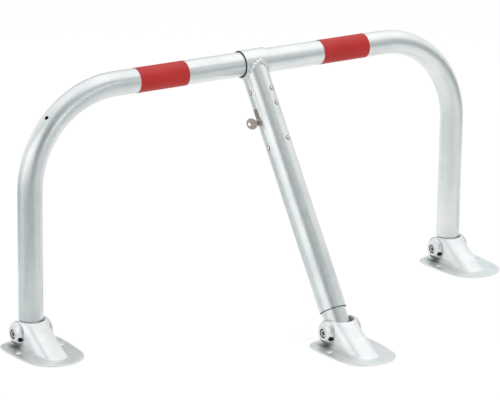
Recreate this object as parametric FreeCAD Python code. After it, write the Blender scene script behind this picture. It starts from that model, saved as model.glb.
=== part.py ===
import FreeCAD, Part
import math
import os

os.makedirs("parts", exist_ok=True)

V = FreeCAD.Vector
X_AXIS = V(1, 0, 0)
Z_AXIS = V(0, 0, 1)

# Hoop: one bent tube standing on two shoes, rail along X, front towards -Y.
LEG_SPACING = 1260.0
RAIL_Z = 614.0
BEND_R = 233.0
TUBE_R = 30.0
TUBE_WALL = 2.5
PIVOT_Z = 36.0
VENT_R = 5.0
VENT_ANGLE = 43.0
VENT_TILT = 17.0
# Red film bands, each set in from the end of the straight rail.
BAND_INSET = 59.0
BAND_LEN = 138.0
BAND_GAP = 0.3
BAND_THICK = 0.4

# Telescopic strut between the rail and the centre shoe.
STRUT_REACH = 389.0
SLEEVE_R = 33.5
SLEEVE_WALL = 2.0
SLEEVE_LEN = 71.0
INNER_SHOWN = 50.0
INNER_TOP = 238.0
# Plastic rings that centre the sleeve on the rail and the outer tube on the inner one.
RING_LIP = 1.5
RING_EDGE = 0.5
RING_SPIGOT = 14.0

# Cast shoe, the same for all three feet, drawn about its own pivot.
FLANGE_T = 4.0
FLANGE_NOSE = 173.0
FLANGE_REAR = 40.0
FLANGE_HALF = ((38, -164), (64, -140), (75, -100), (79, -50), (80, -8), (74, 20), (57, 34.5), (30, 39.6))
ANCHOR_X = 60.0
ANCHOR_Y = -42.0
ANCHOR_R = 7.0
# Hood sections from the ground up: height, half width, front reach, fullness.
HOOD = ((0.0, 38.0, 143.0, 3.6), (33.0, 38.0, 88.0, 2.6), (67.0, 37.0, 37.0, 2.0))
HOOD_POINTS = 12
HOOD_REAR = 4.0
HOOD_WALL = 4.0
COLLAR_GAP = 2.5
CHEEK_X = TUBE_R + COLLAR_GAP
BOSS_X = 51.0
BOSS_R = 30.5
BOSS_ROUND = 17.0
# Square vent pocket in the front of each boss.
WINDOW_X = (39.0, 48.0)
WINDOW_Y = (-34.0, -15.0)
WINDOW_Z = (23.0, 33.0)

# Pivot bolt, nut and cross sleeve of each foot.
BOLT_R = 7.0
RUN_GAP = 0.1
FIT_GAP = 0.3
HEAD_R = 9.5
HEAD_H = 10.0
SOCKET_AF = 9.0
RECESS_R = 11.5
RECESS_D = 11.5
NUT_AF = 21.0
NUT_H = 10.5
NUT_RECESS_R = 12.8
CROSS_R = 10.0

# Lock inside the upper end of the strut, placed by distance from the rail axis.
LOCK_S = 154.0
CARRIER_S = (62.0, 234.0)
CARRIER_GAP = 0.2
PROFILE_R = 8.5
PROFILE_HALF = 5.0
PROFILE_TAIL = 36.0
LOCK_FACE = -36.0
ROTOR_R = 6.5
CAM_R = 12.2
PIN_R = 2.4
PIN_THROW = 9.0
KEY_THICK = 2.4
KEY_BLADE = 8.0
BOW_R = 14.5
BOW_HOLE_R = 4.6
POCKET_N = (-21.0, 14.5)
POCKET_X = (-10.0, 9.0)
PLATE_X = (2.0, 8.0)
KEEPER_N = 11.0
KEEPER_X = (-9.0, 1.0)
KEEPER_TOP = 171.0
CATCH_S = 190.0
CATCH_R = 4.0
CATCH_REST = -16.0
SCREWS = ((-88.0, 77.0), (-88.0, 222.0), (20.0, 81.0), (20.0, 119.0), (20.0, 212.0))
SCREW_HEAD_R = 5.0
SCREW_CROWN_R = 3.2
SCREW_HEAD_H = 2.6
SCREW_R = 2.5
SCREW_REACH = 11.0

LEG_X = LEG_SPACING / 2
STRUT_LEN = math.hypot(STRUT_REACH, RAIL_Z - PIVOT_Z)
LEAN = math.atan2(STRUT_REACH, RAIL_Z - PIVOT_Z)
OUTER_END = STRUT_LEN - INNER_SHOWN
# The origin is midway between the centre shoe's nose and the hoop shoes' heels.
HOOP_Y = (STRUT_REACH + FLANGE_NOSE - FLANGE_REAR) / 2
SHOE_AT = {"left": V(-LEG_X, HOOP_Y, 0), "right": V(LEG_X, HOOP_Y, 0), "centre": V(0, HOOP_Y - STRUT_REACH, 0)}


def cyl(radius, start, end):
    axis = end - start
    return Part.makeCylinder(radius, axis.Length, start, axis)


def box(x, y, z):
    return Part.makeBox(x[1] - x[0], y[1] - y[0], z[1] - z[0], V(x[0], y[0], z[0]))


def hexagon(across, x0, x1, z):
    corners = [V(x0, across / math.sqrt(3) * math.sin(math.radians(60 * i)),
                 z + across / math.sqrt(3) * math.cos(math.radians(60 * i))) for i in range(6)]
    return Part.Face(Part.makePolygon(corners + corners[:1])).extrude(V(x1 - x0, 0, 0))


def save(shape, node):
    shape.exportStep("parts/" + node + ".step")


def lean(shape):
    """Move a shape from strut axes (X, front, down along the strut) into place."""
    front = V(0, -math.cos(LEAN), math.sin(LEAN))
    down = V(0, -math.sin(LEAN), -math.cos(LEAN))
    turn = FreeCAD.Matrix(1, front.x, down.x, 0, 0, front.y, down.y, HOOP_Y, 0, front.z, down.z, RAIL_Z, 0, 0, 0, 1)
    moved = shape.copy()
    moved.Placement = FreeCAD.Placement(turn).multiply(shape.Placement)
    return moved


def tube_end(pivot, away):
    """Cutter that rounds a tube end about its pivot; away points along the tube to its other end."""
    side = X_AXIS.cross(away)
    size = 3 * TUBE_R
    corner = pivot - X_AXIS * size - side * size
    square = Part.makePolygon([corner, corner + X_AXIS * 2 * size, corner + X_AXIS * 2 * size + side * 2 * size,
                               corner + side * 2 * size, corner])
    slab = Part.Face(square).extrude(away * -size)
    return slab.cut(cyl(TUBE_R, pivot - X_AXIS * size, pivot + X_AXIS * size))


def cross_hole(pivot, radius, half):
    return cyl(radius, pivot - X_AXIS * half, pivot + X_AXIS * half)


# Hoop tube, swept along its axis and rounded at both lower ends.
def hoop_path():
    low = PIVOT_Z - TUBE_R - 1
    bend_z = RAIL_Z - BEND_R
    bend_x = LEG_X - BEND_R
    drop = BEND_R * math.sqrt(0.5)
    left = V(-bend_x - drop, HOOP_Y, bend_z + drop)
    right = V(bend_x + drop, HOOP_Y, bend_z + drop)
    return Part.Wire([
        Part.makeLine(V(-LEG_X, HOOP_Y, low), V(-LEG_X, HOOP_Y, bend_z)),
        Part.Arc(V(-LEG_X, HOOP_Y, bend_z), left, V(-bend_x, HOOP_Y, RAIL_Z)).toShape(),
        Part.makeLine(V(-bend_x, HOOP_Y, RAIL_Z), V(bend_x, HOOP_Y, RAIL_Z)),
        Part.Arc(V(bend_x, HOOP_Y, RAIL_Z), right, V(LEG_X, HOOP_Y, bend_z)).toShape(),
        Part.makeLine(V(LEG_X, HOOP_Y, bend_z), V(LEG_X, HOOP_Y, low))])


def swept(radius):
    start = V(-LEG_X, HOOP_Y, PIVOT_Z - TUBE_R - 1)
    return hoop_path().makePipe(Part.Face(Part.Wire(Part.makeCircle(radius, start, Z_AXIS))))


def vent(side):
    turn = math.radians(VENT_ANGLE)
    tilt = math.radians(VENT_TILT)
    centre = V(side * (LEG_X - BEND_R), HOOP_Y, RAIL_Z - BEND_R)
    out = V(side * math.cos(turn), 0, math.sin(turn))
    start = centre + out * BEND_R
    way = out * math.cos(tilt) + V(0, -math.sin(tilt), 0)
    return cyl(VENT_R, start + way * TUBE_R * 0.5, start + way * TUBE_R * 1.5)


hoop = swept(TUBE_R).cut(swept(TUBE_R - TUBE_WALL))
for name in ("left", "right"):
    pivot = SHOE_AT[name] + V(0, 0, PIVOT_Z)
    hoop = hoop.cut(tube_end(pivot, Z_AXIS)).cut(cross_hole(pivot, CROSS_R, 2 * TUBE_R))
hoop = hoop.cut(vent(-1)).cut(vent(1))
save(hoop, "hoop_tube")

band_end = LEG_X - BEND_R - BAND_INSET
for node, side in (("left_red_band", -1), ("right_red_band", 1)):
    start = V(side * (band_end - BAND_LEN), HOOP_Y, RAIL_Z)
    end = V(side * band_end, HOOP_Y, RAIL_Z)
    under = cyl(TUBE_R + BAND_GAP, start, end)
    save(cyl(TUBE_R + BAND_GAP + BAND_THICK, start, end).cut(under), node)


# Cast shoe: flange, hollow hood open to the rear and below, two pivot bosses.
def hood_section(z, half, reach, full, rear):
    front = []
    steps = [i / HOOD_POINTS for i in range(HOOD_POINTS + 1)]
    for step in steps:
        c = math.cos(math.pi * step)
        x = half * math.copysign(abs(c) ** (2 / full), c)
        y = reach * math.sin(math.pi * step) ** (2 / full) if 0 < step < 1 else 0
        front.append(V(x, -y, z))
    curve = Part.BSplineCurve()
    curve.interpolate(Points=front, Parameters=steps)
    a, b = front[0], front[-1]
    return Part.Wire([curve.toShape(), Part.makeLine(b, V(b.x, rear, z)),
                      Part.makeLine(V(b.x, rear, z), V(a.x, rear, z)), Part.makeLine(V(a.x, rear, z), a)])


def boss(side):
    inner, outer = CHEEK_X, BOSS_X
    bend = BOSS_ROUND * (1 - math.sqrt(0.5))
    outline = Part.Wire([
        Part.makeLine(V(inner, 0, 0), V(inner, 0, BOSS_R)),
        Part.makeLine(V(inner, 0, BOSS_R), V(outer - BOSS_ROUND, 0, BOSS_R)),
        Part.Arc(V(outer - BOSS_ROUND, 0, BOSS_R), V(outer - bend, 0, BOSS_R - bend),
                 V(outer, 0, BOSS_R - BOSS_ROUND)).toShape(),
        Part.makeLine(V(outer, 0, BOSS_R - BOSS_ROUND), V(outer, 0, 0)),
        Part.makeLine(V(outer, 0, 0), V(inner, 0, 0))])
    solid = Part.Face(outline).revolve(V(0, 0, 0), X_AXIS, 360)
    return solid.rotated(V(0, 0, 0), Z_AXIS, 90 - 90 * side).translated(V(0, 0, PIVOT_Z))


def cast_shoe():
    right = [V(x, y, 0) for x, y in FLANGE_HALF]
    left = [V(-x, y, 0) for x, y in FLANGE_HALF[::-1]]
    edge = Part.BSplineCurve()
    edge.interpolate([V(0, -FLANGE_NOSE, 0)] + right + [V(0, FLANGE_REAR, 0)] + left, PeriodicFlag=True)
    flange = Part.Face(Part.Wire(edge.toShape())).extrude(V(0, 0, FLANGE_T))
    outer = Part.makeLoft([hood_section(z, b, a, n, HOOD_REAR) for z, b, a, n in HOOD], True)
    hollow = [(z, b - HOOD_WALL, a - HOOD_WALL, n) for z, b, a, n in HOOD[:-1]]
    hollow += [(HOOD[-1][0], CHEEK_X, CHEEK_X, 2.0)]
    inner = Part.makeLoft([hood_section(z, b, a, n, HOOD_REAR) for z, b, a, n in hollow], True)
    shoe = flange.fuse(outer).cut(inner)
    shoe = shoe.cut(box((-CHEEK_X, CHEEK_X), (0, 2 * HOOD_REAR), (FLANGE_T, 100)))
    for side in (-1, 1):
        window = sorted((side * WINDOW_X[0], side * WINDOW_X[1]))
        shoe = shoe.fuse(boss(side)).cut(box(window, WINDOW_Y, WINDOW_Z))
        anchor = V(side * ANCHOR_X, ANCHOR_Y, -1)
        shoe = shoe.cut(cyl(ANCHOR_R, anchor, anchor + V(0, 0, FLANGE_T + 2)))
    pivot = V(0, 0, PIVOT_Z)
    shoe = shoe.cut(cross_hole(pivot, BOLT_R + RUN_GAP, 2 * BOSS_X))
    shoe = shoe.cut(cyl(RECESS_R, pivot - X_AXIS * (BOSS_X + 1), pivot - X_AXIS * (BOSS_X - RECESS_D)))
    shoe = shoe.cut(cyl(NUT_RECESS_R, pivot + X_AXIS * (BOSS_X - RECESS_D), pivot + X_AXIS * (BOSS_X + 1)))
    return shoe.removeSplitter()


def pivot_bolt():
    pivot = V(0, 0, PIVOT_Z)
    seat = BOSS_X - RECESS_D
    head = cyl(HEAD_R, pivot - X_AXIS * (seat + HEAD_H), pivot - X_AXIS * seat)
    head = head.cut(hexagon(SOCKET_AF, -seat - HEAD_H - 1, -seat - HEAD_H * 0.4, PIVOT_Z))
    return head.fuse(cyl(BOLT_R, pivot - X_AXIS * seat, pivot + X_AXIS * (seat + NUT_H)))


def pivot_nut():
    seat = BOSS_X - RECESS_D
    return hexagon(NUT_AF, seat, seat + NUT_H - 0.5, PIVOT_Z).cut(cross_hole(V(0, 0, PIVOT_Z), BOLT_R, 2 * BOSS_X))


def cross_sleeve():
    pivot = V(0, 0, PIVOT_Z)
    half = CHEEK_X - FIT_GAP
    return cross_hole(pivot, CROSS_R, half).cut(cross_hole(pivot, BOLT_R + RUN_GAP, 2 * half))


for name, at in SHOE_AT.items():
    for maker, node in ((cast_shoe, "_shoe"), (pivot_bolt, "_pivot_bolt"), (pivot_nut, "_pivot_nut"),
                        (cross_sleeve, "_cross_sleeve")):
        piece = maker()
        piece.translate(at)
        save(piece, name + node)

# Tee sleeve turning on the rail and the outer strut tube saddled onto it.
sleeve_end = X_AXIS * (SLEEVE_LEN / 2)
bore_r = SLEEVE_R - SLEEVE_WALL
sleeve = cyl(SLEEVE_R, sleeve_end * -1, sleeve_end).cut(cyl(bore_r, sleeve_end * -1, sleeve_end))
save(lean(sleeve), "tee_sleeve")


def lipped_ring(end, inward):
    """Ring pressed into a tube's end, with a tapered lip outside it."""
    tip = end - inward * RING_LIP
    lip = Part.makeCone(TUBE_R + FIT_GAP + RING_EDGE, SLEEVE_R, RING_LIP, tip, inward)
    spigot = cyl(bore_r - RUN_GAP, end, end + inward * RING_SPIGOT)
    return lip.fuse(spigot).cut(cyl(TUBE_R + FIT_GAP, tip, end + inward * RING_SPIGOT))


save(lean(lipped_ring(sleeve_end * -1, X_AXIS)), "left_sleeve_bush")
save(lean(lipped_ring(sleeve_end, X_AXIS * -1)), "right_sleeve_bush")
outer_face = V(0, 0, OUTER_END - RING_LIP)
save(lean(lipped_ring(outer_face, Z_AXIS * -1)), "strut_guide_ring")


def profile(radius, half, x0, x1):
    """Lock cylinder profile: a round barrel with a flat tail up the strut."""
    tail_end = LOCK_S - PROFILE_TAIL + half
    barrel = cyl(radius, V(x0, 0, LOCK_S), V(x1, 0, LOCK_S))
    tail = box((x0, x1), (-half, half), (tail_end, LOCK_S))
    return barrel.fuse(tail).fuse(cyl(half, V(x0, 0, tail_end), V(x1, 0, tail_end)))


def screw_line(azimuth, s, r0, r1):
    way = V(math.sin(math.radians(azimuth)), math.cos(math.radians(azimuth)), 0)
    return V(0, 0, s) + way * r0, V(0, 0, s) + way * r1


outer_tube = cyl(SLEEVE_R, V(0, 0, 0), outer_face).cut(cyl(bore_r, V(0, 0, 0), outer_face))
outer_tube = outer_tube.cut(cyl(SLEEVE_R, X_AXIS * -2 * SLEEVE_R, X_AXIS * 2 * SLEEVE_R))
outer_tube = outer_tube.cut(profile(PROFILE_R + FIT_GAP, PROFILE_HALF + FIT_GAP, -2 * SLEEVE_R, 0))
carrier_r = bore_r - CARRIER_GAP
carrier = cyl(carrier_r, V(0, 0, CARRIER_S[0]), V(0, 0, CARRIER_S[1]))
carrier = carrier.cut(profile(PROFILE_R + FIT_GAP, PROFILE_HALF + FIT_GAP, -2 * SLEEVE_R, POCKET_X[0]))
pocket_top = LOCK_S - CAM_R - 2
carrier = carrier.cut(box((POCKET_X[0], SLEEVE_R), POCKET_N, (pocket_top, CARRIER_S[1])))
screws = []
for azimuth, s in SCREWS:
    foot, face = screw_line(azimuth, s, SLEEVE_R - SCREW_REACH, SLEEVE_R)
    top = screw_line(azimuth, s, SLEEVE_R, SLEEVE_R + SCREW_HEAD_H)
    outer_tube = outer_tube.cut(cyl(SCREW_R, foot, face))
    carrier = carrier.cut(cyl(SCREW_R, foot, face))
    head = Part.makeCone(SCREW_HEAD_R, SCREW_CROWN_R, SCREW_HEAD_H, top[0], top[1] - top[0])
    screws.append(head.fuse(cyl(SCREW_R, foot, face)))
save(lean(outer_tube), "strut_outer_tube")
save(lean(carrier), "lock_carrier")
save(lean(Part.makeCompound(screws)), "carrier_screws")

# Lock cylinder, its turning core with cam and crank pin, the key, and the sliding bolt.
barrel = profile(PROFILE_R, PROFILE_HALF, LOCK_FACE, POCKET_X[0])
barrel = barrel.cut(cyl(ROTOR_R + RUN_GAP, V(LOCK_FACE, 0, LOCK_S), V(POCKET_X[0], 0, LOCK_S)))
save(lean(barrel), "lock_cylinder")
cam_x = (POCKET_X[0] + FIT_GAP, PLATE_X[0] - 1)
blade_x = (LOCK_FACE - 0.5, cam_x[0] - 6)
blade = box(blade_x, (-KEY_THICK / 2, KEY_THICK / 2), (LOCK_S - KEY_BLADE / 2, LOCK_S + KEY_BLADE / 2))
core = cyl(ROTOR_R, V(blade_x[0], 0, LOCK_S), V(cam_x[0], 0, LOCK_S)).cut(blade)
save(lean(core), "lock_core")
pin_n = -PIN_THROW * math.sqrt(0.5)
pin_s = LOCK_S + PIN_THROW * math.sqrt(0.5)
cam = cyl(CAM_R, V(cam_x[0], 0, LOCK_S), V(cam_x[1], 0, LOCK_S))
save(lean(cam.fuse(cyl(PIN_R, V(cam_x[1], pin_n, pin_s), V(PLATE_X[1], pin_n, pin_s)))), "lock_cam")
bow_x = LOCK_FACE - 6 - BOW_R
thick = V(0, KEY_THICK / 2, 0)
bow = cyl(BOW_R, V(bow_x, 0, LOCK_S) - thick, V(bow_x, 0, LOCK_S) + thick)
neck = KEY_BLADE / 2
reach = BOW_R + 3
shoulder = math.atan2(neck, reach) + math.acos(BOW_R / math.hypot(reach, neck))
half_key = [(bow_x + BOW_R * math.cos(shoulder), BOW_R * math.sin(shoulder)), (bow_x + reach, neck),
            (LOCK_FACE - 0.5, neck)]
edge = [V(x, 0, LOCK_S + s) - thick for x, s in half_key] + [V(x, 0, LOCK_S - s) - thick for x, s in half_key[::-1]]
taper = Part.Face(Part.makePolygon(edge + edge[:1])).extrude(thick * 2)
eye = V(bow_x - BOW_R * 0.48, 0, LOCK_S)
save(lean(bow.fuse(taper).cut(cyl(BOW_HOLE_R, eye - thick * 2, eye + thick * 2)).fuse(blade)), "key")
throw = -2 * pin_n
slot_half = PIN_R + 2 * FIT_GAP
plate = box(PLATE_X, (CATCH_REST - CATCH_R, pin_n + 7), (pin_s - 9, CATCH_S + CATCH_R + 1))
plate = plate.cut(box(PLATE_X, (pin_n - slot_half, pin_n + slot_half), (pin_s - 3.4, pin_s + 6.4)))
catch = cyl(CATCH_R, V(KEEPER_X[0] + 1, CATCH_REST, CATCH_S), V(PLATE_X[0], CATCH_REST, CATCH_S))
save(lean(plate.fuse(catch)), "lock_bolt")
cover_n = (POCKET_N[0] + CARRIER_GAP, POCKET_N[1] - CARRIER_GAP)
cover = box((POCKET_X[1], POCKET_X[1] + 4), cover_n, (pocket_top + CARRIER_GAP, CARRIER_S[1]))
save(lean(cover), "lock_cover")

# Inner strut tube with its end plug and the notched keeper bar that the catch enters.
inner_r = TUBE_R - TUBE_WALL
foot = V(0, 0, STRUT_LEN)
inner_tube = cyl(TUBE_R, V(0, 0, INNER_TOP), foot + Z_AXIS * TUBE_R)
inner_tube = inner_tube.cut(cyl(inner_r, V(0, 0, INNER_TOP), foot + Z_AXIS * TUBE_R))
inner_tube = inner_tube.cut(tube_end(foot, Z_AXIS * -1)).cut(cross_hole(foot, CROSS_R, 2 * TUBE_R))
save(lean(inner_tube), "strut_inner_tube")
plug_end = INNER_TOP + 25
keeper = box(KEEPER_X, (-KEEPER_N, KEEPER_N), (KEEPER_TOP, INNER_TOP))
notch_half = CATCH_R + 1
caught = CATCH_REST + throw
notch = box(KEEPER_X, (-KEEPER_N, caught), (CATCH_S - notch_half, CATCH_S + notch_half))
notch = notch.fuse(cyl(notch_half, V(KEEPER_X[0], caught, CATCH_S), V(KEEPER_X[1], caught, CATCH_S)))
keeper = keeper.cut(notch).fuse(cyl(inner_r, V(0, 0, INNER_TOP), V(0, 0, plug_end)))
save(lean(keeper), "strut_keeper")
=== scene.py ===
import math

import bmesh
import bpy
from mathutils import Matrix, Vector, noise


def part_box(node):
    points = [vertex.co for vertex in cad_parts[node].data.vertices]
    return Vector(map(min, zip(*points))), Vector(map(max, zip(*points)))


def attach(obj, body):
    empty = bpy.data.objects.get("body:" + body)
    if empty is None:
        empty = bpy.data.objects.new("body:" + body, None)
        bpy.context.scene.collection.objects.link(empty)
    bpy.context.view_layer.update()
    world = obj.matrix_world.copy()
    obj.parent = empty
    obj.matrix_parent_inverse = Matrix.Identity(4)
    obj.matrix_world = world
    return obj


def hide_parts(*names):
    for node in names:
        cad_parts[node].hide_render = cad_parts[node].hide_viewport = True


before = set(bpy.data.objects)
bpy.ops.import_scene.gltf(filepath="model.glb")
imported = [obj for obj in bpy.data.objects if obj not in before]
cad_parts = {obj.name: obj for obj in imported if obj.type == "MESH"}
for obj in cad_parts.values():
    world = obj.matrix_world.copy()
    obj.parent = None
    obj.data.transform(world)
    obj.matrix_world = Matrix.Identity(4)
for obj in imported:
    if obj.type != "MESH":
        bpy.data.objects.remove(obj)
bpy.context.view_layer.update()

bl_info = {
    "name": "Folding hoop barrier",
    "version": (1, 0, 0),
    "blender": (4, 5, 0),
    "location": "View3D > Sidebar > Barrier",
    "description": "Finishes a folding hoop barrier: tubes, shoes, red film, weld, lock and fasteners",
    "category": "Object",
}

SHOES = ("left", "right", "centre")
SHOE_BODY = {"left": "ground_shoes", "right": "ground_shoes", "centre": "centre_foot"}


def middle(node):
    low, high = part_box(node)
    return (low + high) / 2


# Places and sizes read from the imported parts; the bend radius is given.
HOOP_LOW, HOOP_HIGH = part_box("hoop_tube")
TUBE_R = (HOOP_HIGH.y - HOOP_LOW.y) / 2
HOOP_Y = (HOOP_HIGH.y + HOOP_LOW.y) / 2
LEG_X = HOOP_HIGH.x - TUBE_R
RAIL_Z = HOOP_HIGH.z - TUBE_R
RAIL = Vector((0, HOOP_Y, RAIL_Z))
PIVOT = {name: middle(name + "_cross_sleeve") for name in SHOES}
STRUT_DOWN = (PIVOT["centre"] - RAIL).normalized()
STRUT_FRONT = Vector((0, STRUT_DOWN.z, -STRUT_DOWN.y))
SLEEVE_R = (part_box("tee_sleeve")[1].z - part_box("tee_sleeve")[0].z) / 2
BEND_R = 0.233  # of the hoop's axis

# Directions in the frame.
LEFT, RIGHT = Vector((-1, 0, 0)), Vector((1, 0, 0))
REAR, UP, DOWN = Vector((0, 1, 0)), Vector((0, 0, 1)), Vector((0, 0, -1))
FRONT_LEFT = Vector((-0.5, -1, 0))

# Below this roughness the metal's mirror images turn speckled.
LEAST_ROUGH = 0.285


def strut_point(x, front, down):
    """A point given across, in front of and down along the strut from the rail's axis."""
    return RAIL + Vector((x, 0, 0)) + STRUT_FRONT * front + STRUT_DOWN * down


def colour(name, about, value):
    return bpy.props.FloatVectorProperty(name=name, description=about, subtype="COLOR", size=3, min=0, max=1,
                                         default=value)


def length(name, about, value):
    return bpy.props.FloatProperty(name=name, description=about, subtype="DISTANCE", unit="LENGTH",
                                   default=value)


def angle(name, about, degrees):
    return bpy.props.FloatProperty(name=name, description=about, subtype="ANGLE", unit="ROTATION",
                                   default=math.radians(degrees))


def factor(name, about, value):
    return bpy.props.FloatProperty(name=name, description=about, subtype="FACTOR", min=0, max=1,
                                   default=value)


class BarrierFinish(bpy.types.PropertyGroup):
    """Colours and gloss of the barrier's finishes."""
    zinc_light: colour("Zinc, light", "Bright zinc of the tubes", (0.85, 0.86, 0.85))
    zinc_dark: colour("Zinc, dark", "Dull blue-grey zinc of the tubes", (0.60, 0.635, 0.64))
    hoop_gloss: factor("Hoop roughness", "Mean roughness of the hoop's zinc", 0.35)
    strut_gloss: factor("Strut roughness", "Mean roughness of the strut's zinc", 0.30)
    cast_light: colour("Casting, light", "Bright zinc of the shoes", (0.81, 0.82, 0.82))
    cast_dark: colour("Casting, dark", "Dull zinc of the shoes", (0.63, 0.67, 0.675))
    film: colour("Film", "Red film of the bands", (0.42, 0.018, 0.016))
    film_worn: colour("Film, worn", "Faded red of the bands", (0.48, 0.028, 0.024))
    brass: colour("Plated brass", "Nickel plated brass of key and lock", (0.46, 0.42, 0.36))
    steel: colour("Plated steel", "Zinc plated steel of the fasteners", (0.60, 0.61, 0.62))
    screw: colour("Screw zinc", "Bright zinc of the button screws", (0.93, 0.93, 0.92))
    nickel: colour("Nickel", "Bright nickel of the rim round the lock's core", (0.80, 0.77, 0.71))
    # Painted shade: this near black stands in for the shade in sockets, recesses and creases.
    soot: colour("Soot", "Dirt in sockets, recesses and creases", (0.010, 0.010, 0.010))
    plastic: colour("Plastic", "Black plastic of the rings and the lock's inside", (0.012, 0.012, 0.013))


class BarrierSizes(bpy.types.PropertyGroup):
    """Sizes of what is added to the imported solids."""
    cast_voxel: length("Casting grain", "Mesh size at which the shoes' edges are rounded", 0.0013)
    weld_r: length("Weld radius", "Half width of the weld bead at the tee", 0.0046)
    weld_pitch: length("Weld pitch", "Distance between the weld's ripples", 0.0085)
    socket_af: length("Screw socket", "Width of the hexagon socket in the button heads", 0.0032)


class BarrierStage(bpy.types.PropertyGroup):
    """The camera's place and lens."""
    azimuth: angle("Azimuth", "Camera direction, from the front towards the lock's side", 34.60)
    elevation: angle("Elevation", "Camera height above the horizon", 16.80)
    roll: angle("Roll", "Tilt of the picture", 0.82)
    distance: length("Distance", "Camera to the point it looks at", 7.2893)
    lens: bpy.props.FloatProperty(name="Lens", description="Focal length", subtype="DISTANCE_CAMERA",
                                  unit="CAMERA", default=216.0)
    aim: bpy.props.FloatVectorProperty(name="Aim", description="Point the camera looks at",
                                       subtype="TRANSLATION", unit="LENGTH",
                                       default=(-0.0877, 0.1327, 0.3091))


class Wire:
    """A shader socket that takes part in arithmetic; each operation adds a Math node."""

    def __init__(self, shader, socket):
        self.shader = shader
        self.socket = socket

    def math(self, operation, *values):
        return self.shader.add("ShaderNodeMath", {"operation": operation}, dict(enumerate(values)))

    def __add__(self, other):
        return self.math("ADD", self, other)

    def __radd__(self, other):
        return self.math("ADD", other, self)

    def __sub__(self, other):
        return self.math("SUBTRACT", self, other)

    def __rsub__(self, other):
        return self.math("SUBTRACT", other, self)

    def __mul__(self, other):
        return self.math("MULTIPLY", self, other)

    def __rmul__(self, other):
        return self.math("MULTIPLY", other, self)

    def __pow__(self, other):
        return self.math("POWER", self, other)

    def __abs__(self):
        return self.math("ABSOLUTE", self)

    def least(self, other):
        return self.math("MINIMUM", self, other)

    def most(self, other):
        return self.math("MAXIMUM", self, other)

    def clamped(self):
        return self.most(0.0).least(1.0)

    def swing(self, size):
        """A noise about 0.5 as a change of half the size either way."""
        return (self - 0.5) * size

    def parts(self):
        node = self.shader.add("ShaderNodeSeparateXYZ", None, {0: self}).socket.node
        return [Wire(self.shader, out) for out in node.outputs]


class Shader:
    """A node tree under construction."""

    def __init__(self, tree):
        self.tree = tree
        tree.nodes.clear()

    def add(self, kind, settings=None, sockets=None, out=0):
        node = self.tree.nodes.new(kind)
        for key, value in (settings or {}).items():
            setattr(node, key, value)
        for key, value in (sockets or {}).items():
            if isinstance(value, Wire):
                self.tree.links.new(value.socket, node.inputs[key])
            else:
                node.inputs[key].default_value = value
        return Wire(self, node.outputs[out]) if len(node.outputs) else None

    def place(self):
        return self.add("ShaderNodeTexCoord", out=3)

    def vector(self, x, y, z):
        return self.add("ShaderNodeCombineXYZ", None, {0: x, 1: y, 2: z})

    def along(self, place, way):
        return self.add("ShaderNodeVectorMath", {"operation": "DOT_PRODUCT"}, {0: place, 1: way}, out=1)

    def noise(self, place, scale, detail=2.0, rough=0.5):
        return self.add("ShaderNodeTexNoise", None,
                        {"Vector": place, "Scale": scale, "Detail": detail, "Roughness": rough})

    def cells(self, place, scale):
        tint = self.add("ShaderNodeTexVoronoi", None, {"Vector": place, "Scale": scale}, out=1)
        return self.add("ShaderNodeSeparateColor", None, {0: tint})

    def blend(self, share, one, other):
        return self.add("ShaderNodeMix", {"data_type": "RGBA"}, {0: share, 6: one, 7: other}, out=2)

    def soot(self):
        """Share of painted shade that the mesh carries in its recesses, sockets and creases."""
        return self.add("ShaderNodeAttribute", {"attribute_name": "soot"}, out=2)

    def bump(self, height, strength, depth):
        return self.add("ShaderNodeBump", None, {"Strength": strength, "Distance": depth, "Height": height})

    def surface(self, **sockets):
        """Principled surface; names use _ for the spaces of the socket names."""
        named = {key.replace("_", " "): value for key, value in sockets.items()}
        body = self.add("ShaderNodeBsdfPrincipled", None, named)
        self.add_output(body)

    def add_output(self, body):
        in_world = isinstance(self.tree.id_data, bpy.types.World)
        kind = "ShaderNodeOutputWorld" if in_world else "ShaderNodeOutputMaterial"
        self.add(kind, None, {"Surface": body})


def new_material(name):
    material = bpy.data.materials.new(name)
    material.use_nodes = True
    return material, Shader(material.node_tree)


def rgba(value):
    return (*value, 1.0)


def finish_props():
    return bpy.context.scene.barrier_finish


def hoop_lengthwise(shader):
    """Coordinates that run along the bent hoop: outward and sideways in the section, and along the axis."""
    x, y, z = shader.place().parts()
    over = abs(x) - (LEG_X - BEND_R)
    up = z - (RAIL_Z - BEND_R)
    out_x = over.most(0.0)
    out_z = up.most(0.0)
    outward = (out_x * out_x + out_z * out_z) ** 0.5 - BEND_R
    turn = out_z.math("ARCTAN2", out_z, out_x)
    along = up.least(0.0) + turn * BEND_R - over.least(0.0)
    side = x.math("SIGN", x)
    apart = 7.0  # gives the two halves patterns of their own
    return outward, y - HOOP_Y, along + side * apart


def strut_lengthwise(shader):
    place = shader.place()
    x, _, _ = place.parts()
    front = shader.along(place, STRUT_FRONT) - RAIL.dot(STRUT_FRONT)
    return x, front, shader.along(place, STRUT_DOWN) - RAIL.dot(STRUT_DOWN)


def rail_lengthwise(shader):
    x, y, z = shader.place().parts()
    return y - HOOP_Y, z - RAIL_Z, x


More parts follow.
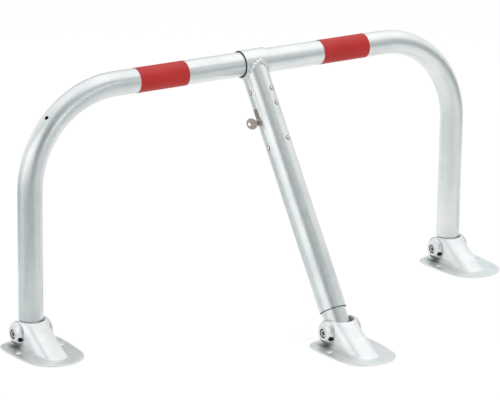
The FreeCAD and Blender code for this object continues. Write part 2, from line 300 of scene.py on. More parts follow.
def zinc_tube(name, lengthwise, gloss):
    """Hot-dip zinc on drawn tube: lengthwise streaks, dull patches, faint crystal facets and painted light
    that brightens it towards the right.
    """
    material, shader = new_material(name)
    finish = finish_props()
    one, two, along = lengthwise(shader)
    place = shader.place()
    long, short = shader.vector(one, two, along * 0.02), shader.vector(one, two, along * 0.12)
    streak = shader.noise(long, scale=260.0, detail=3.0, rough=0.6)
    broad = shader.noise(short, scale=42.0)
    patch = shader.noise(place, scale=7.5, detail=3.0, rough=0.55)
    facet = shader.cells(place, scale=120.0)
    # Painted light: the tone brightens steadily towards +x, the barrier's right.
    painted_light_rightwards = place.parts()[0] * 0.22
    tone = 0.56 + streak.swing(0.3) + broad.swing(0.4) + patch.swing(1.2) + facet.swing(0.14) + painted_light_rightwards
    rough = gloss + patch.swing(-0.24) + streak.swing(0.12) + facet.swing(0.05)
    tint = shader.blend(tone.clamped(), rgba(finish.zinc_dark), rgba(finish.zinc_light))
    shader.surface(Base_Color=tint, Metallic=0.86, Roughness=rough.most(LEAST_ROUGH), IOR=1.5,
                   Normal=shader.bump(streak, strength=0.04, depth=0.0003))
    return material


def rough_zinc(name, metallic):
    """Bright zinc on a casting or a weld: fine grain, soft dull clouds."""
    material, shader = new_material(name)
    finish = finish_props()
    place = shader.place()
    cloud = shader.noise(place, scale=22.0, detail=3.0, rough=0.6)
    grain = shader.noise(place, scale=650.0, detail=3.0, rough=0.65)
    dimple = shader.noise(place, scale=160.0)
    tone = 0.62 + cloud.swing(1.4) + grain.swing(0.3)
    rough = 0.32 + cloud.swing(-0.2) + grain.swing(0.1)
    # Painted shade from the mesh darkens recesses, creases and the weld's troughs, and takes the metal's
    # shine away there.
    soot = shader.soot()
    clean = shader.blend(tone.clamped(), rgba(finish.cast_dark), rgba(finish.cast_light))
    shader.surface(Base_Color=shader.blend(soot, clean, rgba(finish.soot)), Metallic=(1.0 - soot) * metallic,
                   Roughness=rough.most(LEAST_ROUGH),
                   Normal=shader.bump(grain * 0.3 + dimple * 0.7, strength=0.16, depth=0.0006))
    return material


def red_film(name):
    """Satin self-adhesive film, a little faded and faintly wavy."""
    material, shader = new_material(name)
    finish = finish_props()
    place = shader.place()
    fade = shader.noise(place, scale=16.0, detail=3.0, rough=0.6)
    scuff = shader.noise(place, scale=420.0, detail=3.0, rough=0.6)
    tone_shift = fade.swing(1.6) + scuff.swing(0.5) + 0.4
    rough = 0.46 + scuff.swing(0.2)
    shader.surface(Base_Color=shader.blend(tone_shift.clamped(), rgba(finish.film), rgba(finish.film_worn)),
                   Roughness=rough.clamped(), Specular_IOR_Level=0.22,
                   Normal=shader.bump(fade * 0.7 + scuff * 0.3, strength=0.10, depth=0.0006))
    return material


def plated(name, tint, metallic, rough, scale):
    """Plated metal with fine turning marks and a little tarnish."""
    material, shader = new_material(name)
    place = shader.place()
    tarnish = shader.noise(place, scale, detail=3.0, rough=0.6)
    mark = shader.noise(place, scale * 14)
    dull = tuple(share * 0.72 for share in tint)
    # Painted shade from the mesh darkens sockets, bores and rims.
    soot = shader.soot()
    clean = shader.blend((tarnish * 1.4 - 0.2).clamped(), rgba(dull), rgba(tint))
    shader.surface(Base_Color=shader.blend(soot, clean, rgba(finish_props().soot)),
                   Metallic=(1.0 - soot) * metallic, Roughness=(rough + mark.swing(0.2)).most(LEAST_ROUGH),
                   Normal=shader.bump(mark, strength=0.12, depth=0.0003))
    return material


def black_plastic(name):
    """Moulded black plastic with a fine matt texture."""
    material, shader = new_material(name)
    grain = shader.noise(shader.place(), scale=700.0)
    tint = finish_props().plastic
    pale = tuple(share * 1.8 for share in tint)
    shader.surface(Base_Color=shader.blend(grain, rgba(tint), rgba(pale)),
                   Roughness=(0.5 + grain.swing(0.2)).clamped(),
                   Normal=shader.bump(grain, strength=0.2, depth=0.0003))
    return material


MADE = {}


def made(name, maker, **values):
    """A material that is made once and shared."""
    if name not in MADE:
        MADE[name] = maker(name, **values)
    return MADE[name]


def plated_steel():
    tint = tuple(finish_props().steel)
    return made("plated_steel", plated, tint=tint, metallic=0.9, rough=0.34, scale=80.0)


def dress(material, *nodes):
    for node in nodes:
        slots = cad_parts[node].data.materials
        slots.clear()
        slots.append(material)


def add_piece(name, mesh, body, material):
    mesh.materials.clear()
    mesh.materials.append(material)
    piece = bpy.data.objects.new(name, mesh)
    bpy.context.scene.collection.objects.link(piece)
    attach(piece, body)
    return piece


def hexagon_r(across, turn):
    """Distance from the middle to a hexagon's edge."""
    return across / 2 / math.cos((turn + math.pi / 6) % (math.pi / 3) - math.pi / 6)


def turned(name, levels, steps=48, ring=False):
    """Mesh through closed loops along +Z.

    A level is height, round radius, hexagon width and painted shade, with 0 for none.
    """
    bm = bmesh.new()
    shade_map = bm.verts.layers.float.new("soot")
    loops = []
    for height, radius, across, soot in levels:
        loop = []
        for i in range(steps):
            turn = 2 * math.pi * i / steps
            reach = min(radius if radius else 1.0, hexagon_r(across, turn) if across else 1.0)
            corner = bm.verts.new((reach * math.cos(turn), reach * math.sin(turn), height))
            corner[shade_map] = soot
            loop.append(corner)
        loops.append(loop)
    pairs = list(zip(loops, loops[1:]))
    if ring:
        pairs.append((loops[-1], loops[0]))
    for low, high in pairs:
        for i in range(steps):
            j = (i + 1) % steps
            bm.faces.new((low[i], low[j], high[j], high[i]))
    if not ring:
        bm.faces.new(loops[0][::-1])
        bm.faces.new(loops[-1])
    bmesh.ops.recalc_face_normals(bm, faces=bm.faces)
    mesh = bpy.data.meshes.new(name)
    bm.to_mesh(mesh)
    bm.free()
    return mesh


def smooth_by_angle(mesh, degrees):
    """Smooth shading with edges sharper than an angle kept crisp."""
    bm = bmesh.new()
    bm.from_mesh(mesh)
    for face in bm.faces:
        face.smooth = True
    for edge in bm.edges:
        edge.smooth = len(edge.link_faces) == 2 and edge.calc_face_angle(0.0) < math.radians(degrees)
    bm.to_mesh(mesh)
    bm.free()


class Tree:
    """A geometry node tree under construction."""

    def __init__(self, name):
        self.group = bpy.data.node_groups.new(name, "GeometryNodeTree")
        self.group.interface.new_socket("Geometry", in_out="INPUT", socket_type="NodeSocketGeometry")
        self.start = self.group.nodes.new("NodeGroupInput")
        self.values = {}

    def size(self, name, kind, value):
        socket = self.group.interface.new_socket(name, in_out="INPUT", socket_type=kind)
        self.values[socket.identifier] = value
        return self.start.outputs[name]

    def add(self, kind, settings=None, sockets=None, out=0):
        node = self.group.nodes.new(kind)
        for key, value in (settings or {}).items():
            setattr(node, key, value)
        for key, value in (sockets or {}).items():
            if isinstance(value, bpy.types.NodeSocket):
                self.group.links.new(value, node.inputs[key])
            else:
                node.inputs[key].default_value = value
        return node.outputs[out]

    def math(self, operation, *values, clamp=False):
        settings = {"operation": operation, "use_clamp": clamp}
        return self.add("ShaderNodeMath", settings, dict(enumerate(values)))

    def field(self, name, kind):
        return self.add("GeometryNodeInputNamedAttribute", {"data_type": kind}, {"Name": name})

    def close(self, geometry, material):
        self.group.interface.new_socket("Geometry", in_out="OUTPUT", socket_type="NodeSocketGeometry")
        real = self.add("GeometryNodeRealizeInstances", None, {0: geometry})
        painted = self.add("GeometryNodeSetMaterial", None, {"Geometry": real, "Material": material})
        end = self.group.nodes.new("NodeGroupOutput")
        self.group.links.new(painted, end.inputs[0])

    def grow(self, name, seed_mesh):
        """Runs the tree on a mesh and gives the result as a plain mesh."""
        carrier = bpy.data.objects.new(name, seed_mesh)
        bpy.context.scene.collection.objects.link(carrier)
        modifier = carrier.modifiers.new(name, "NODES")
        modifier.node_group = self.group
        for identifier, value in self.values.items():
            modifier[identifier] = value
        depsgraph = bpy.context.evaluated_depsgraph_get()
        mesh = bpy.data.meshes.new_from_object(carrier.evaluated_get(depsgraph))
        bpy.data.objects.remove(carrier)
        mesh.name = name
        return mesh


def points_mesh(name, places, ways):
    """Loose points that carry the direction their copies face."""
    mesh = bpy.data.meshes.new(name)
    mesh.from_pydata([tuple(p) for p in places], [], [])
    facing = mesh.attributes.new("facing", "FLOAT_VECTOR", "POINT")
    for item, way in zip(facing.data, ways):
        item.vector = way
    return mesh


def repeated(name, source, places, ways, material):
    """Copies of a mesh along +Z set on points and turned to their directions."""
    holder = bpy.data.objects.new(name + "_pattern", source)
    bpy.context.scene.collection.objects.link(holder)
    tree = Tree(name)
    shape = tree.size("Pattern", "NodeSocketObject", holder)
    copies = tree.add("GeometryNodeObjectInfo", {"transform_space": "ORIGINAL"}, {"Object": shape},
                      out="Geometry")
    facing = tree.field("facing", "FLOAT_VECTOR")
    turn = tree.add("FunctionNodeAlignRotationToVector", {"axis": "Z"}, {"Vector": facing})
    spots = tree.add("GeometryNodeMeshToPoints", None, {"Mesh": tree.start.outputs[0]})
    placed = tree.add("GeometryNodeInstanceOnPoints", None,
                      {"Points": spots, "Instance": copies, "Rotation": turn})
    tree.close(placed, material)
    mesh = tree.grow(name, points_mesh(name + "_points", places, ways))
    bpy.data.objects.remove(holder)
    return mesh


class BARRIER_OT_tubes(bpy.types.Operator):
    """Zinc on the hoop, the tee sleeve and the telescopic strut"""
    bl_idname = "barrier.tubes"
    bl_label = "Zinc tubes"

    def execute(self, context):
        finish = finish_props()
        for name, lengthwise, gloss, *nodes in (
                ("hoop_zinc", hoop_lengthwise, finish.hoop_gloss, "hoop_tube"),
                ("sleeve_zinc", rail_lengthwise, finish.hoop_gloss, "tee_sleeve"),
                ("strut_zinc", strut_lengthwise, finish.strut_gloss, "strut_outer_tube", "strut_inner_tube")):
            dress(made(name, zinc_tube, lengthwise=lengthwise, gloss=gloss), *nodes)
        return {"FINISHED"}


class BARRIER_OT_bands(bpy.types.Operator):
    """Red film bands on the rail"""
    bl_idname = "barrier.bands"
    bl_label = "Red bands"

    def execute(self, context):
        dress(made("red_film", red_film), "left_red_band", "right_red_band")
        return {"FINISHED"}


class BARRIER_OT_rings(bpy.types.Operator):
    """Black plastic rings and the lock's carrier"""
    bl_idname = "barrier.rings"
    bl_label = "Plastic rings"

    def execute(self, context):
        # The bushes and guide ring are black plastic, and their black is also painted shade: it stands for
        # the dark lines at the tee sleeve's ends and the strut's seam.
        dress(made("black_plastic", black_plastic), "left_sleeve_bush", "right_sleeve_bush",
              "strut_guide_ring", "lock_carrier", "lock_cover")
        return {"FINISHED"}


def oval(one, two, shape):
    """Distance from an oval's middle, 1 on its edge; a shape is the middle and the half axes."""
    return math.hypot((one - shape[0]) / shape[2], (two - shape[1]) / shape[3])


class ShoePaintedShade:
    """Where shade is painted on a shoe: its recesses, its crease, the flange under its bosses and the
    flange's left side.

    Lengths are in metres from the middle of its pivot, and a side is a distance from its middle plane.
    """
    # Each zone below is painted shade, darkening the casting where shade falls.
    # Bolt recess: outwards from a side, within a radius.
    recess_side, recess_r = 0.030, 0.0118
    # Vent pocket: an oval in side and height, a span in y and the width of its soft edge.
    vent_oval, vent_depth, vent_blur = (0.0427, -0.0081, 0.0044, 0.0051), (-0.034, -0.0140), 0.25
    # Inner end of a boss, and the crease there: its line, half width, outer end, radius and lower end.
    boss_side = 0.034
    crease_side, crease_half, crease_end, crease_r, crease_low = 0.0385, 0.003, 0.0415, 0.0325, -0.020
    # Below a boss: an oval in side and y, up to a height.
    foot_oval, foot_top = (0.045, 0.0, 0.018, 0.028), -0.016
    # Left of the flange: an oval in x and y, up to an x and a height.
    flange_oval, flange_end, flange_top = (-0.055, -0.075, 0.045, 0.085), -0.030, -0.029

    def at(self, place):
        """Share of painted shade at a point of the casting."""
        side, reach = abs(place.x), math.hypot(place.y, place.z)
        if side > self.recess_side and reach < self.recess_r:
            return 0.9
        vent, vent_edge = oval(side, place.z, self.vent_oval), 1 + self.vent_blur
        if vent < vent_edge and self.vent_depth[0] < place.y < self.vent_depth[1]:
            return 0.98 * min(1.0, (vent_edge - vent) / self.vent_blur)
        if self.boss_side < side < self.crease_end and reach < self.crease_r and place.z > self.crease_low:
            return 0.45 * max(0.0, 1 - abs(side - self.crease_side) / self.crease_half)
        foot = oval(side, place.y, self.foot_oval)
        if foot < 1 and side > self.boss_side and place.z < self.foot_top:
            return max(0.12, 0.80 * (1 - foot ** 2))
        if place.z < self.flange_top and place.x < self.flange_end:
            return 0.22 * max(0.0, 1 - oval(place.x, place.y, self.flange_oval) ** 2)
        return 0.0


class BARRIER_OT_shoes(bpy.types.Operator):
    """Cast shoes with rounded edges, one shape set at the three feet"""
    bl_idname = "barrier.shoes"
    bl_label = "Cast shoes"

    def execute(self, context):
        sizes = context.scene.barrier_sizes
        material = made("cast_zinc", rough_zinc, metallic=0.72)
        bm = bmesh.new()
        bm.from_mesh(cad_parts["left_shoe"].data)
        bmesh.ops.remove_doubles(bm, verts=bm.verts, dist=1e-6)
        bmesh.ops.translate(bm, verts=bm.verts, vec=-PIVOT["left"])
        rough = bpy.data.meshes.new("shoe_rough")
        bm.to_mesh(rough)
        bm.free()
        carrier = bpy.data.objects.new("shoe_rough", rough)
        context.scene.collection.objects.link(carrier)
        remesh = carrier.modifiers.new("grain", "REMESH")
        remesh.mode = "VOXEL"
        remesh.voxel_size = sizes.cast_voxel
        smooth = carrier.modifiers.new("soft", "SMOOTH")
        smooth.factor = 0.5
        smooth.iterations = 7
        depsgraph = context.evaluated_depsgraph_get()
        cast = bpy.data.meshes.new_from_object(carrier.evaluated_get(depsgraph))
        bpy.data.objects.remove(carrier)
        for polygon in cast.polygons:
            polygon.use_smooth = True
        # Painted shade of the shoes, stored on the mesh.
        shade_map = ShoePaintedShade()
        soot = cast.attributes.new("soot", "FLOAT", "POINT")
        soot.data.foreach_set("value", [shade_map.at(v.co) for v in cast.vertices])
        for name in SHOES:
            mesh = cast.copy()
            mesh.name = name + "_cast_shoe"
            mesh.transform(Matrix.Translation(PIVOT[name]))
            piece = add_piece(name + "_cast_shoe", mesh, SHOE_BODY[name], material)
            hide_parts(name + "_shoe")
        return {"FINISHED"}


class BARRIER_OT_pivots(bpy.types.Operator):
    """Socket head pivot bolts, chamfered nuts and cross sleeves of the feet"""
    bl_idname = "barrier.pivots"
    bl_label = "Pivot bolts"

    def execute(self, context):
        steel = plated_steel()
        dress(steel, *(name + "_cross_sleeve" for name in SHOES))
        low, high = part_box("left_pivot_bolt")
        head_r, head_h, socket = (high.z - low.z) / 2, 0.010, 0.0098
        shank_r = head_r - 0.0025
        tip = head_h - (high.x - low.x)
        # The fourth number of a level is painted shade: the bolt's hex socket and the nut's bore are darkened
        # where shade falls.
        bolt = turned("pivot_bolt", (
            (tip, shank_r - 0.0012, 0, 0), (tip + 0.0012, shank_r, 0, 0), (0, shank_r, 0, 0),
            (0, head_r - 0.0003, 0, 0), (0.0003, head_r, 0, 0), (head_h - 0.0009, head_r, 0, 0),
            (head_h, head_r - 0.0009, 0, 0), (head_h, 0.0062, 0, 0), (head_h - 0.0006, 0, socket, 0.2),
            (head_h - 0.0020, 0, socket, 0.75), (head_h - 0.0045, 0, socket, 0.6)))
        low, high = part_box("left_pivot_nut")
        nut_h, across = high.x - low.x, high.y - low.y
        bore_r, corner_r = shank_r + 0.0002, across * 0.565
        nut = turned("pivot_nut", (
            (0, bore_r, 0, 0), (0, across / 2, across, 0), (0.0010, corner_r, across, 0),
            (nut_h - 0.0012, corner_r, across, 0), (nut_h, across / 2 - 0.0003, across, 0),
            (nut_h, shank_r + 0.0011, 0, 0), (nut_h - 0.0010, bore_r, 0, 0.5)), ring=True)
        for mesh in (bolt, nut):
            smooth_by_angle(mesh, degrees=32)
        for body in ("ground_shoes", "centre_foot"):
            feet = [name for name in SHOES if SHOE_BODY[name] == body]
            for kind, mesh, way, rise in (("bolt", bolt, LEFT, head_h), ("nut", nut, RIGHT, 0.0)):
                nodes = [name + "_pivot_" + kind for name in feet]
                seats = [Vector((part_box(node)[0].x + rise, *PIVOT[name].yz))
                         for node, name in zip(nodes, feet)]
                title = body + "_" + kind + "s"
                copies = repeated(title, mesh, seats, [way] * len(feet), steel)
                piece = add_piece(title, copies, body, steel)
                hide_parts(*nodes)
        return {"FINISHED"}


class BARRIER_OT_weld(bpy.types.Operator):
    """Rippled weld bead along the saddle between the strut and the tee sleeve"""
    bl_idname = "barrier.weld"
    bl_label = "Weld bead"

    def execute(self, context):
        sizes = context.scene.barrier_sizes
        # Points of the path, how far its crest is rounded and how far the bead strays.
        count, crest, stray = 240, 0.010, 0.0014
        # The bead is thin at the sides and swells at the front and the rear.
        thin, swell = 0.45, 0.80
        saddle, girth = [], []
        for i in range(count):
            turn = 2 * math.pi * i / count
            across, front = math.sin(turn), math.cos(turn)
            wander = noise.noise(Vector((across, front, 0)) * 6.0)
            down = math.hypot(SLEEVE_R * across, crest) + stray * wander
            saddle.append(strut_point(SLEEVE_R * across, SLEEVE_R * front, down))
            girth.append(thin + swell * front ** 2)
        path = bpy.data.meshes.new("weld_path")
        path.from_pydata([tuple(p) for p in saddle], [(i, (i + 1) % count) for i in range(count)], [])
        path.attributes.new("girth", "FLOAT", "POINT").data.foreach_set("value", girth)
        tree = Tree("weld_bead")
        radius = tree.size("Radius", "NodeSocketFloat", sizes.weld_r)
        pitch = tree.size("Pitch", "NodeSocketFloat", sizes.weld_pitch)
        line = tree.add("GeometryNodeMeshToCurve", None, {0: tree.start.outputs[0]})
        line = tree.add("GeometryNodeResampleCurve", {"mode": "LENGTH"}, {"Curve": line, "Length": 0.0007})
        far = tree.add("GeometryNodeSplineParameter", out="Length")
        wander = tree.add("ShaderNodeTexNoise", {"noise_dimensions": "3D"}, {"Scale": 130.0, "Detail": 2.0})
        phase = tree.math("MULTIPLY_ADD", wander, 1.6, tree.math("DIVIDE", far, pitch))
        tooth = tree.math("FRACT", phase)
        ripple = tree.math("MULTIPLY_ADD", tooth, -0.50, 0.74)
        ripple = tree.math("MULTIPLY_ADD", wander, 0.90, ripple)
        thick = tree.math("MULTIPLY", ripple, radius)
        thick = tree.math("MULTIPLY", thick, tree.field("girth", "FLOAT"))
        # Painted shade: the troughs between the ripples are darkened.
        notch = tree.math("MULTIPLY_ADD", tooth, 1.3, -1.05, clamp=True)
        line = tree.add("GeometryNodeStoreNamedAttribute", {"data_type": "FLOAT", "domain": "POINT"},
                        {"Geometry": line, "Name": "soot", "Value": notch})
        line = tree.add("GeometryNodeSetCurveRadius", None, {"Curve": line, "Radius": thick})
        ring = tree.add("GeometryNodeCurvePrimitiveCircle", {"mode": "RADIUS"},
                        {"Resolution": 14, "Radius": 1.0})
        scale = tree.add("GeometryNodeInputRadius")
        bead = tree.add("GeometryNodeCurveToMesh", None,
                        {"Curve": line, "Profile Curve": ring, "Scale": scale})
        bead = tree.add("GeometryNodeSetShadeSmooth", None, {"Geometry": bead})
        bright = made("weld_zinc", rough_zinc, metallic=0.45)
        tree.close(bead, bright)
        mesh = tree.grow("tee_weld", path)
        add_piece("tee_weld", mesh, "upper_strut", bright)
        return {"FINISHED"}


class BARRIER_OT_screws(bpy.types.Operator):
    """Button head screws in the upper end of the strut"""
    bl_idname = "barrier.screws"
    bl_label = "Button screws"

    # Degrees from the strut's front and distance from the rail's axis of each screw.
    spots = ((-88, 0.077), (-88, 0.222), (20, 0.081), (20, 0.119), (20, 0.212))

    def execute(self, context):
        sizes = context.scene.barrier_sizes
        tint = tuple(finish_props().screw)
        steel = made("bright_steel", plated, tint=tint, metallic=0.55, rough=0.26, scale=80.0)
        socket, steps = sizes.socket_af, 36
        # The fourth number of a level is painted shade: the head's rim and its socket are darkened where
        # shade falls.
        screw = turned("button_screw", (
            (-0.0110, 0.0022, 0, 0), (-0.0105, 0.0025, 0, 0), (0.0, 0.0025, 0, 0), (0.0, 0.0048, 0, 0.6),
            (0.0003, 0.0050, 0, 0.3), (0.0008, 0.0049, 0, 0), (0.0015, 0.0043, 0, 0), (0.0021, 0.0034, 0, 0),
            (0.0024, 0.0026, 0, 0), (0.0025, 0.0021, 0, 0), (0.0023, 0, socket, 0.7),
            (0.0008, 0, socket, 1)), steps)
        # Black rings under the heads are painted shade: a dark edge where shade falls round each head.
        shade_ring = turned("screw_shade_ring", (
            (-0.0008, 0.0049, 0, 0), (-0.0008, 0.0063, 0, 0), (0.0002, 0.0063, 0, 0),
            (0.0005, 0.0060, 0, 0), (0.0005, 0.0049, 0, 0)), steps, ring=True)
        for mesh in (screw, shade_ring):
            smooth_by_angle(mesh, degrees=35)
        places, ways = [], []
        for degrees, down in self.spots:
            turn = math.radians(degrees)
            way = Vector((math.sin(turn), 0, 0)) + STRUT_FRONT * math.cos(turn)
            ways.append(way)
            places.append(strut_point(0, 0, down) + way * SLEEVE_R)
        mesh = repeated("button_screws", screw, places, ways, steel)
        piece = add_piece("button_screws", mesh, "upper_strut", steel)
        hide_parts("carrier_screws")
        shade_ring_black = made("black_plastic", black_plastic)
        mesh = repeated("screw_washers", shade_ring, places, ways, shade_ring_black)
        add_piece("screw_washers", mesh, "upper_strut", shade_ring_black)
        return {"FINISHED"}


class BARRIER_OT_lock(bpy.types.Operator):
    """Lock cylinder, its core and key, and the catch and keeper behind them"""
    bl_idname = "barrier.lock"
    bl_label = "Lock and key"

    def execute(self, context):
        finish = finish_props()
        brass = tuple(finish.brass)
        # The cylinder is given a darker, duller brass than the core and the key.
        tone_shift = tuple(share * 0.80 for share in brass)
        dress(made("plated_brass", plated, tint=brass, metallic=0.85, rough=0.36, scale=60.0),
              "lock_core", "key")
        dress(made("darker_brass", plated, tint=tone_shift, metallic=0.7, rough=0.42, scale=60.0), "lock_cylinder")
        dress(plated_steel(), "lock_cam", "lock_bolt", "strut_keeper")
        core_low, core_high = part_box("lock_core")
        bore_r, rim_r = (core_high.z - core_low.z) / 2 + 0.0004, 0.0087
        # The fourth number of a level is painted shade: the rim's bore and foot are darkened where shade
        # falls.
        rim = turned("lock_rim", (
            (-0.0003, bore_r, 0, 1), (-0.0003, rim_r, 0, 0.9), (0.0003, rim_r, 0, 0.6),
            (0.0008, rim_r - 0.0005, 0, 0), (0.0008, bore_r + 0.0006, 0, 0), (0.0003, bore_r, 0, 0.9)),
            ring=True)
        smooth_by_angle(rim, degrees=35)
        face = Vector((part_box("lock_cylinder")[0].x, *middle("lock_core").yz))
        rim.transform(Matrix.Translation(face) @ LEFT.to_track_quat("Z", "Y").to_matrix().to_4x4())
        nickel = made("nickel", plated, tint=tuple(finish.nickel), metallic=0.5, rough=0.30, scale=60.0)
        add_piece("lock_rim", rim, "upper_strut", nickel)
        return {"FINISHED"}


# Lamps: name, place, target, width, height and watts.
LAMPS = (
    ("top_lamp", (0.2, 0.1, 3.4), (0.2, 0.1, 0.3), 4.0, 3.6, 42),
    ("left_lamp", (-3.5, 0.5, 1.8), (0, 0.3, 0.35), 3.4, 1.5, 18),
)

# Share of red in a card's light: panels are white, flags and mats cool.
WHITE, PALE, SOFT, COOL = 0.99, 0.97, 0.94, 0.86

# Cards that only the metal mirrors: name, way it faces, centre, width, height, level, lean and share of red.
# Panels brighten, flags darken the walls and mats darken the floor.
CARDS = (
    ("top_panel", DOWN, (2.0, 0.4, 3.5), 5.4, 4.6, 1.28, 0, WHITE),
    ("bend_top_panel", DOWN, (-1.2, 1.25, 3.5), 1.0, 2.9, 1.45, 0, WHITE),
    ("bend_panel", REAR, (0.3, -3.58, 1.2), 1.6, 0.5, 3.4, -42, WHITE),
    ("bend_low_flag", REAR, (-2.6, -3.59, 1.85), 3.4, 1.9, 0.22, 0, COOL),
    ("bend_top_flag", DOWN, (-1.7, -1.9, 3.5), 1.6, 1.7, 0.34, 0, COOL),
    ("left_panel", RIGHT, (-3.2, 0.311, 1.509), 1.95, 4.45, 1.32, 51, WHITE),
    ("left_flag", RIGHT, (-3.25, 1.095, 2.836), 1.0, 3.4, 0.50, 51, COOL),
    ("bend_flag", RIGHT, (-3.25, -1.0, 3.8), 1.8, 1.0, 0.48, 0, COOL),
    ("wall_flag", RIGHT, (-3.19, 2.20, 0.95), 0.7, 0.9, 0.45, 0, COOL),
    ("front_flag", REAR, (0.6, -3.6, 1.0), 7.6, 2.1, 0.44, 0, COOL),
    ("upper_flag", REAR, (-1.2, -3.6, 4.1), 8.8, 2.5, 0.36, 0, COOL),
    ("right_flag", LEFT, (4.5, -2.45, 0.88), 6.4, 3.0, 0.50, 42.6, COOL),
    ("right_low_flag", LEFT, (4.48, -1.4, 0.5), 2.4, 1.0, 0.22, 0, COOL),
    ("rear_flag", FRONT_LEFT, (1.66, 4.77, 1.2), 2.2, 1.8, 0.14, 0, COOL),
    ("rear_right_flag", FRONT_LEFT, (2.98, 4.11, 1.2), 0.75, 1.8, 0.58, 0, COOL),
    ("rear_far_flag", FRONT_LEFT, (3.65, 3.77, 1.2), 0.75, 1.8, 0.86, 0, COOL),
    ("front_mat", UP, (-2.1, -1.9, 0.002), 2.3, 2.9, 0.28, 0, COOL),
    ("left_mat", UP, (-2.5, 1.0, 0.002), 3.0, 4.0, 0.50, 0, COOL),
    ("left_strip", UP, (-2.2, 0.55, 0.003), 2.4, 0.6, 0.80, 0, COOL),
    ("leg_mat", UP, (-0.6, -1.525, 0.002), 0.7, 1.55, 0.38, 0, COOL),
    ("near_mat", UP, (-0.65, -0.30, 0.002), 0.6, 0.9, 0.73, 0, SOFT),
    ("rear_mat", UP, (-0.6, 1.6, 0.002), 0.8, 1.4, 0.62, 0, COOL),
    ("edge_mat", UP, (-0.86, 0.42, 0.002), 0.28, 0.65, 0.76, 0, SOFT),
    ("right_edge_mat", UP, (1.12, -0.05, 0.002), 0.45, 0.90, 0.80, 0, PALE),
    ("inner_mat", UP, (-0.24, 0.20, 0.002), 0.20, 0.50, 0.76, 0, COOL),
    ("low_mat", UP, (-0.28, 0.64, 0.002), 0.34, 0.52, 0.60, 0, COOL),
    ("bend_mat", UP, (0.42, -1.08, 0.002), 0.66, 1.25, 0.60, 0, COOL),
    ("right_mat", UP, (2.3, -2.9, 0.002), 3.0, 2.4, 0.48, 0, COOL),
    ("right_rear_mat", UP, (3.25, -0.6, 0.002), 2.5, 2.2, 0.42, 0, COOL),
)


def glow(name, level, red):
    """Even light of a card, with its share of red."""
    material, shader = new_material(name)
    tint = (level * red, level, level * 1.01, 1.0)
    shader.add_output(shader.add("ShaderNodeEmission", None, {"Color": tint, "Strength": 1.0}))
    return material


def card(name, facing, centre, width, height, level, lean, red):
    """A card that only mirrors in the metal, as a studio panel or flag does."""
    mesh = bpy.data.meshes.new(name)
    x, z = width / 2, height / 2
    mesh.from_pydata([(-x, -z, 0), (x, -z, 0), (x, z, 0), (-x, z, 0)], [], [(0, 1, 2, 3)])
    turn = facing.to_track_quat("Z", "Y").to_matrix() @ Matrix.Rotation(math.radians(lean), 3, "Z")
    mesh.transform(Matrix.Translation(centre) @ turn.to_4x4())
    mesh.materials.append(glow(name, level, red))
    flag = bpy.data.objects.new(name, mesh)
    bpy.context.scene.collection.objects.link(flag)
    flag.visible_camera = False
    flag.visible_diffuse = False
    flag.visible_shadow = False
    flag.visible_transmission = False


def softbox(name, place, target, width, height, watts):
    """A soft lamp; the cards stand for it in the metal."""
    lamp = bpy.data.lights.new(name, "AREA")
    lamp.shape = "RECTANGLE"
    lamp.size = width
    lamp.size_y = height
    lamp.energy = watts
    box = bpy.data.objects.new(name, lamp)
    box.location = place
    box.rotation_euler = (Vector(target) - Vector(place)).to_track_quat("-Z", "Y").to_euler()
    box.visible_glossy = False
    bpy.context.scene.collection.objects.link(box)


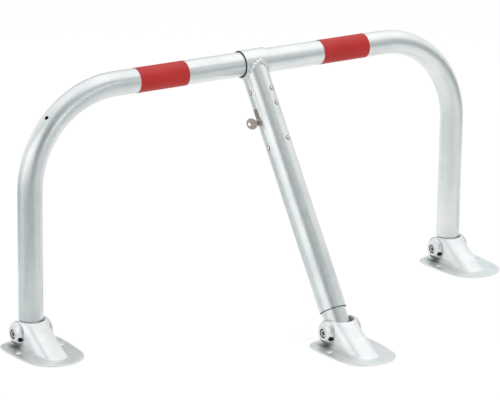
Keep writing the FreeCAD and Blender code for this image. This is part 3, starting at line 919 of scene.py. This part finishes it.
class BARRIER_OT_stage(bpy.types.Operator):
    """White floor, soft studio lamps, cards and the camera"""
    bl_idname = "barrier.stage"
    bl_label = "Studio"

    # The floor lies just below the soles and partly shines where it is seen or mirrored.
    floor_r, floor_drop, floor_white, floor_glow, floor_share = 40.0, 0.0003, 0.92, 1.04, 0.7
    # Level of the surroundings as a light, and what is added where they are seen or mirrored.
    sky_light, sky_seen = 0.85, 0.15

    def execute(self, context):
        self.floor(context)
        self.world(context)
        for lamp in LAMPS:
            softbox(*lamp)
        for row in CARDS:
            card(*row)
        self.camera(context)
        return {"FINISHED"}

    def seen(self, shader):
        """1 for rays from the camera, also by way of a mirroring or a clear surface."""
        path = shader.add("ShaderNodeLightPath").socket.node.outputs
        share = Wire(shader, path["Is Camera Ray"])
        for kind in ("Is Glossy Ray", "Is Transmission Ray"):
            share = share.most(Wire(shader, path[kind]))
        return share

    def floor(self, context):
        mesh = bpy.data.meshes.new("floor")
        bm = bmesh.new()
        bmesh.ops.create_circle(bm, cap_ends=True, segments=64, radius=self.floor_r)
        bmesh.ops.translate(bm, verts=bm.verts, vec=DOWN * self.floor_drop)
        bm.to_mesh(mesh)
        bm.free()
        material, shader = new_material("floor_white")
        matt = shader.add("ShaderNodeBsdfDiffuse", None, {"Color": rgba((self.floor_white,) * 3)})
        white = shader.add("ShaderNodeEmission", None, {"Strength": self.floor_glow})
        share = self.seen(shader) * self.floor_share
        shader.add_output(shader.add("ShaderNodeMixShader", None, {0: share, 1: matt, 2: white}))
        mesh.materials.append(material)
        floor = bpy.data.objects.new("floor", mesh)
        context.scene.collection.objects.link(floor)

    def world(self, context):
        world = bpy.data.worlds.new("studio")
        world.use_nodes = True
        context.scene.world = world
        shader = Shader(world.node_tree)
        level = self.seen(shader) * self.sky_seen + self.sky_light
        shader.add_output(shader.add("ShaderNodeBackground", None,
                                     {"Color": (1, 1, 1, 1), "Strength": level}))

    def camera(self, context):
        stage = context.scene.barrier_stage
        side, rise = stage.azimuth, stage.elevation
        look = Vector((math.sin(side) * math.cos(rise), math.cos(side) * math.cos(rise), -math.sin(rise)))
        right = Vector((math.cos(side), -math.sin(side), 0))
        up = right.cross(look)
        tilt = Matrix.Rotation(-stage.roll, 3, look)
        right, up = tilt @ right, tilt @ up
        data = bpy.data.cameras.new("photo_camera")
        data.lens = stage.lens
        data.sensor_width = 36.0
        data.clip_end = 100.0
        camera = bpy.data.objects.new("photo_camera", data)
        place = Vector(stage.aim) - look * stage.distance
        camera.matrix_world = Matrix((
            (right.x, up.x, -look.x, place.x), (right.y, up.y, -look.y, place.y),
            (right.z, up.z, -look.z, place.z), (0, 0, 0, 1)))
        context.scene.collection.objects.link(camera)
        context.scene.camera = camera
        context.scene.view_settings.view_transform = "Standard"


STEPS = (BARRIER_OT_stage, BARRIER_OT_tubes, BARRIER_OT_bands, BARRIER_OT_rings, BARRIER_OT_shoes,
         BARRIER_OT_pivots, BARRIER_OT_weld, BARRIER_OT_screws, BARRIER_OT_lock)


class BARRIER_PT_panel(bpy.types.Panel):
    """The steps in order, and the finishes, sizes and stage that they use"""
    bl_idname = "BARRIER_PT_panel"
    bl_label = "Folding hoop barrier"
    bl_space_type = "VIEW_3D"
    bl_region_type = "UI"
    bl_category = "Barrier"

    def draw(self, context):
        for step in STEPS:
            self.layout.operator(step.bl_idname)
        for group in (context.scene.barrier_finish, context.scene.barrier_sizes, context.scene.barrier_stage):
            for key in group.bl_rna.properties.keys():
                if key not in ("rna_type", "name"):
                    self.layout.prop(group, key)


CLASSES = (BarrierFinish, BarrierSizes, BarrierStage, *STEPS, BARRIER_PT_panel)


def register():
    for item in CLASSES:
        bpy.utils.register_class(item)
    bpy.types.Scene.barrier_finish = bpy.props.PointerProperty(type=BarrierFinish)
    bpy.types.Scene.barrier_sizes = bpy.props.PointerProperty(type=BarrierSizes)
    bpy.types.Scene.barrier_stage = bpy.props.PointerProperty(type=BarrierStage)


def unregister():
    del bpy.types.Scene.barrier_stage
    del bpy.types.Scene.barrier_sizes
    del bpy.types.Scene.barrier_finish
    for item in reversed(CLASSES):
        bpy.utils.unregister_class(item)


def main():
    register()
    bpy.ops.barrier.stage()
    bpy.ops.barrier.tubes()
    bpy.ops.barrier.bands()
    bpy.ops.barrier.rings()
    bpy.ops.barrier.shoes()
    bpy.ops.barrier.pivots()
    bpy.ops.barrier.weld()
    bpy.ops.barrier.screws()
    bpy.ops.barrier.lock()


if __name__ == "__main__":
    main()
